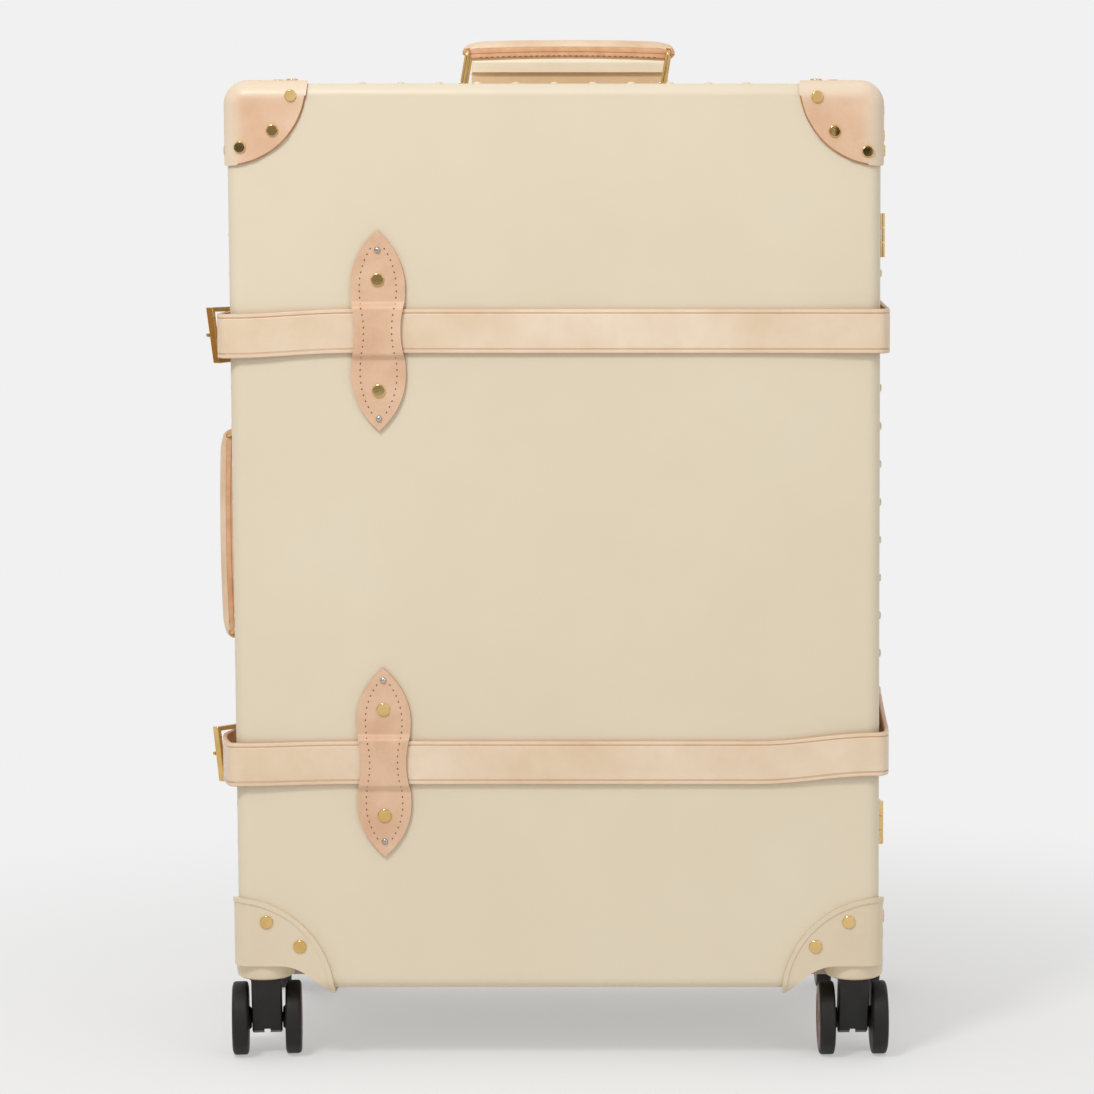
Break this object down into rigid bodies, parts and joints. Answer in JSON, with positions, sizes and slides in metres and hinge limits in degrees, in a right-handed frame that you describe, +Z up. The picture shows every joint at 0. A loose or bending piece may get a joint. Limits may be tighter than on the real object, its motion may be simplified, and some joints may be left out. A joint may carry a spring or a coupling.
{
  "type": "suitcase",
  "caption": "Trunk-style upright suitcase with hinged lid, leather belts and buckles, corner guards, carry handles, pull-out trolley handle and swivelling twin-wheel casters.",
  "frame": {"origin": "middle of the bounding box's footprint, on the floor that the casters stand on", "axes": "+X to the right of the front view, where the hinges are; +Y from the front lid to the rear base; +Z up"},
  "size_m": [0.5549, 0.3225, 0.8196],
  "materials": {
    "fibreboard": "cream vulcanised fibreboard, satin",
    "frame_wood": "pale wood, sealed",
    "guard_leather": "natural tan leather, satin",
    "belt_leather": "pale natural leather, smooth",
    "tab_leather": "natural tan leather, satin",
    "grip_leather": "natural tan leather, smooth",
    "housing_plastic": "cream moulded plastic, satin",
    "black_plastic": "black moulded plastic",
    "wheel_rubber": "dark rubber tread",
    "gold_metal": "polished gold-coloured metal",
    "cream_plastic": "cream moulded plastic, satin"
  },
  "bodies": {
    "base": {"base_tray": "fibreboard", "base_band": "fibreboard", "base_frame": "frame_wood", "trolley_housing": "black_plastic", "corner_guard_rear_left": "guard_leather", "corner_guard_rear_right": "guard_leather", "wheel_housing_rear_left": "housing_plastic", "wheel_housing_rear_right": "housing_plastic", "upper_belt_rear": "belt_leather", "upper_belt_flex": "belt_leather", "upper_tab_rear": "tab_leather", "upper_hinge_base_leaf": "gold_metal", "upper_lock_case": "gold_metal", "lower_belt_rear": "belt_leather", "lower_belt_flex": "belt_leather", "lower_tab_rear": "tab_leather", "lower_hinge_base_leaf": "gold_metal", "lower_lock_case": "gold_metal", "top_handle_saddle_left": "gold_metal", "top_handle_saddle_right": "gold_metal", "side_handle_saddle_left": "gold_metal", "side_handle_saddle_right": "gold_metal"},
    "lid": {"lid_tray": "fibreboard", "lid_band": "fibreboard", "corner_guard_front_left": "guard_leather", "corner_guard_front_right": "guard_leather", "wheel_housing_front_left": "housing_plastic", "wheel_housing_front_right": "housing_plastic", "upper_belt_front": "belt_leather", "upper_tab_front": "tab_leather", "upper_hinge_lid_leaf": "gold_metal", "upper_hasp_plate": "gold_metal", "lower_belt_front": "belt_leather", "lower_tab_front": "tab_leather", "lower_hinge_lid_leaf": "gold_metal", "lower_hasp_plate": "gold_metal"},
    "upper_buckle": {"upper_buckle_frame": "gold_metal"},
    "upper_prong": {"upper_buckle_prong": "gold_metal"},
    "upper_hasp": {"upper_hasp": "gold_metal"},
    "upper_lock_button": {"upper_lock_button": "gold_metal"},
    "lower_buckle": {"lower_buckle_frame": "gold_metal"},
    "lower_prong": {"lower_buckle_prong": "gold_metal"},
    "lower_hasp": {"lower_hasp": "gold_metal"},
    "lower_lock_button": {"lower_lock_button": "gold_metal"},
    "top_handle_ring_left": {"top_handle_ring_left": "gold_metal"},
    "top_handle_ring_right": {"top_handle_ring_right": "gold_metal"},
    "top_handle_grip": {"top_handle_grip": "grip_leather"},
    "side_handle_ring_left": {"side_handle_ring_left": "gold_metal"},
    "side_handle_ring_right": {"side_handle_ring_right": "gold_metal"},
    "side_handle_grip": {"side_handle_grip": "grip_leather"},
    "trolley": {"trolley_grip": "cream_plastic"},
    "trolley_button": {"trolley_button": "cream_plastic"},
    "caster_front_left": {"caster_fork_front_left": "black_plastic"},
    "wheels_front_left": {"caster_wheels_front_left": "wheel_rubber"},
    "caster_front_right": {"caster_fork_front_right": "black_plastic"},
    "wheels_front_right": {"caster_wheels_front_right": "wheel_rubber"},
    "caster_rear_left": {"caster_fork_rear_left": "black_plastic"},
    "wheels_rear_left": {"caster_wheels_rear_left": "wheel_rubber"},
    "caster_rear_right": {"caster_fork_rear_right": "black_plastic"},
    "wheels_rear_right": {"caster_wheels_rear_right": "wheel_rubber"}
  },
  "joints": [
    {"name": "lid_hinge", "type": "hinge", "parent": "base", "child": "lid", "pos_m": [0.27114, -0.03668, 0], "axis": [0, 0, 1], "range_deg": [0, 100], "deforming": ["upper_belt_flex", "lower_belt_flex"]},
    {"name": "upper_buckle_turn", "type": "hinge", "parent": "base", "child": "upper_buckle", "pos_m": [-0.24616, -0.10868, 0.582], "axis": [0, 0, -1], "range_deg": [0, 70]},
    {"name": "upper_prong_turn", "type": "hinge", "parent": "upper_buckle", "child": "upper_prong", "pos_m": [-0.24616, -0.10868, 0.582], "axis": [0, 0, -1], "range_deg": [0, 35]},
    {"name": "upper_hasp_turn", "type": "hinge", "parent": "lid", "child": "upper_hasp", "pos_m": [-0.24346, -0.04668, 0.532], "axis": [0, 0, 1], "range_deg": [0, 100]},
    {"name": "upper_button_slide", "type": "slide", "parent": "base", "child": "upper_lock_button", "axis": [0, 0, -1], "range_m": [0, 0.004], "stiffness_N_per_m": 150},
    {"name": "lower_buckle_turn", "type": "hinge", "parent": "base", "child": "lower_buckle", "pos_m": [-0.24616, -0.07668, 0.2425], "axis": [0, 0, -1], "range_deg": [0, 70]},
    {"name": "lower_prong_turn", "type": "hinge", "parent": "lower_buckle", "child": "lower_prong", "pos_m": [-0.24616, -0.07668, 0.2425], "axis": [0, 0, -1], "range_deg": [0, 35]},
    {"name": "lower_hasp_turn", "type": "hinge", "parent": "lid", "child": "lower_hasp", "pos_m": [-0.24346, -0.04668, 0.295], "axis": [0, 0, 1], "range_deg": [0, 100]},
    {"name": "lower_button_slide", "type": "slide", "parent": "base", "child": "lower_lock_button", "axis": [0, 0, -1], "range_m": [0, 0.004], "stiffness_N_per_m": 150},
    {"name": "top_handle_swing", "type": "hinge", "parent": "base", "child": "top_handle_ring_left", "pos_m": [-0.07206, 0.01432, 0.7816], "axis": [0, 1, 0], "range_deg": [-80, 60]},
    {"name": "top_handle_far_swing", "type": "hinge", "parent": "base", "child": "top_handle_ring_right", "pos_m": [0.09294, 0.01432, 0.7816], "axis": [0, 1, 0], "range_deg": [-80, 60]},
    {"name": "top_handle_grip_turn", "type": "hinge", "parent": "top_handle_ring_left", "child": "top_handle_grip", "pos_m": [-0.06703, 0.01432, 0.81016], "axis": [0, 1, 0], "range_deg": [-60, 80]},
    {"name": "side_handle_swing", "type": "hinge", "parent": "base", "child": "side_handle_ring_left", "pos_m": [-0.24586, 0.01432, 0.3475], "axis": [0, 1, 0], "range_deg": [-30, 110]},
    {"name": "side_handle_far_swing", "type": "hinge", "parent": "base", "child": "side_handle_ring_right", "pos_m": [-0.24586, 0.01432, 0.5125], "axis": [0, 1, 0], "range_deg": [-30, 110]},
    {"name": "side_handle_grip_turn", "type": "hinge", "parent": "side_handle_ring_left", "child": "side_handle_grip", "pos_m": [-0.26808, 0.01432, 0.32886], "axis": [0, 1, 0], "range_deg": [-110, 30]},
    {"name": "trolley_slide", "type": "slide", "parent": "base", "child": "trolley", "axis": [0, 0, 1], "range_m": [0, 0.33]},
    {"name": "trolley_button_press", "type": "slide", "parent": "trolley", "child": "trolley_button", "axis": [0, 0, -1], "range_m": [0, 0.002], "stiffness_N_per_m": 600},
    {"name": "caster_front_left_swivel", "type": "hinge", "parent": "lid", "child": "caster_front_left", "pos_m": [-0.22376, -0.13268, 0.06], "axis": [0, 0, 1], "continuous": true},
    {"name": "caster_front_left_roll", "type": "hinge", "parent": "caster_front_left", "child": "wheels_front_left", "pos_m": [-0.22571, -0.1168, 0.02903], "axis": [0.9925, 0.1219, 0], "continuous": true},
    {"name": "caster_front_right_swivel", "type": "hinge", "parent": "lid", "child": "caster_front_right", "pos_m": [0.24924, -0.13268, 0.06], "axis": [0, 0, 1], "continuous": true},
    {"name": "caster_front_right_roll", "type": "hinge", "parent": "caster_front_right", "child": "wheels_front_right", "pos_m": [0.2484, -0.1167, 0.02903], "axis": [0.9986, 0.0523, 0], "continuous": true},
    {"name": "caster_rear_left_swivel", "type": "hinge", "parent": "base", "child": "caster_rear_left", "pos_m": [-0.22376, 0.11332, 0.06], "axis": [0, 0, 1], "continuous": true},
    {"name": "caster_rear_left_roll", "type": "hinge", "parent": "caster_rear_left", "child": "wheels_rear_left", "pos_m": [-0.22571, 0.1292, 0.02903], "axis": [0.9925, 0.1219, 0], "continuous": true},
    {"name": "caster_rear_right_swivel", "type": "hinge", "parent": "base", "child": "caster_rear_right", "pos_m": [0.24924, 0.11332, 0.06], "axis": [0, 0, 1], "continuous": true},
    {"name": "caster_rear_right_roll", "type": "hinge", "parent": "caster_rear_right", "child": "wheels_rear_right", "pos_m": [0.2484, 0.1293, 0.02903], "axis": [0.9986, 0.0523, 0], "continuous": true}
  ],
  "couplings": [
    {"joint": "top_handle_far_swing", "follows": "top_handle_swing", "ratio": 1},
    {"joint": "top_handle_grip_turn", "follows": "top_handle_swing", "ratio": -1},
    {"joint": "side_handle_far_swing", "follows": "side_handle_swing", "ratio": 1},
    {"joint": "side_handle_grip_turn", "follows": "side_handle_swing", "ratio": -1}
  ]
}
